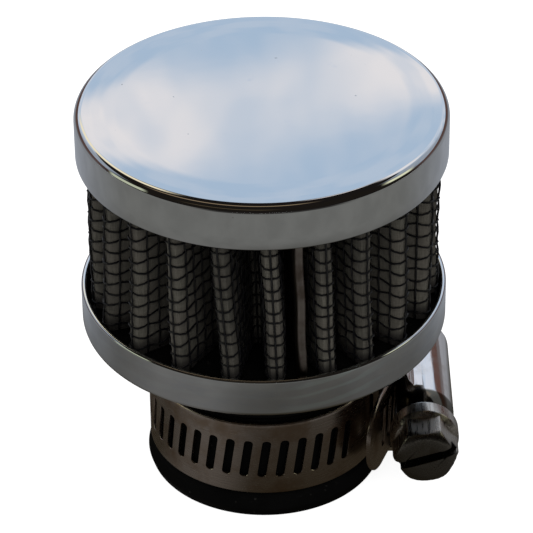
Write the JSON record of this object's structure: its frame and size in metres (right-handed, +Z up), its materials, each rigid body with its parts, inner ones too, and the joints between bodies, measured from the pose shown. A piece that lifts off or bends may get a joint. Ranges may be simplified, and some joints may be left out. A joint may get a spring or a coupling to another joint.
{
  "type": "crankcase breather filter",
  "caption": "Small round crankcase breather filter: chrome cap and ring, pleated gauze between wire meshes, rubber neck with a worm-drive clamp.",
  "frame": {"origin": "centre of the neck's mouth, on the neck's axis", "axes": "+Z up the axis from the neck to the cap, +X towards the clamp's worm screw, whose head faces -Y"},
  "size_m": [0.0526, 0.051, 0.0574],
  "materials": {
    "chrome_plate": "mirror chrome plate",
    "black_potting": "cast potting compound",
    "grey_gauze": "woven cotton gauze, lightly oiled",
    "coated_wire": "black epoxy coat on steel wire",
    "plain_steel": "plain steel strip",
    "black_rubber": "moulded rubber",
    "stainless_band": "rolled stainless strip",
    "polished_stainless": "polished stainless",
    "screw_steel": "turned steel"
  },
  "bodies": {
    "filter": {"top_cap": "chrome_plate", "top_seal": "black_potting", "pleated_gauze": "grey_gauze", "outer_mesh": "coated_wire", "inner_mesh": "coated_wire", "seam_clip": "plain_steel", "bottom_ring": "chrome_plate", "rubber_neck": "black_rubber", "clamp_band": "stainless_band", "clamp_saddle": "stainless_band", "clamp_housing": "polished_stainless"},
    "worm": {"clamp_screw": "screw_steel"}
  },
  "joints": [
    {"name": "worm_turn", "type": "hinge", "parent": "filter", "child": "worm", "pos_m": [0.0223, 0, 0.01], "axis": [0, -1, 0], "continuous": true}
  ]
}
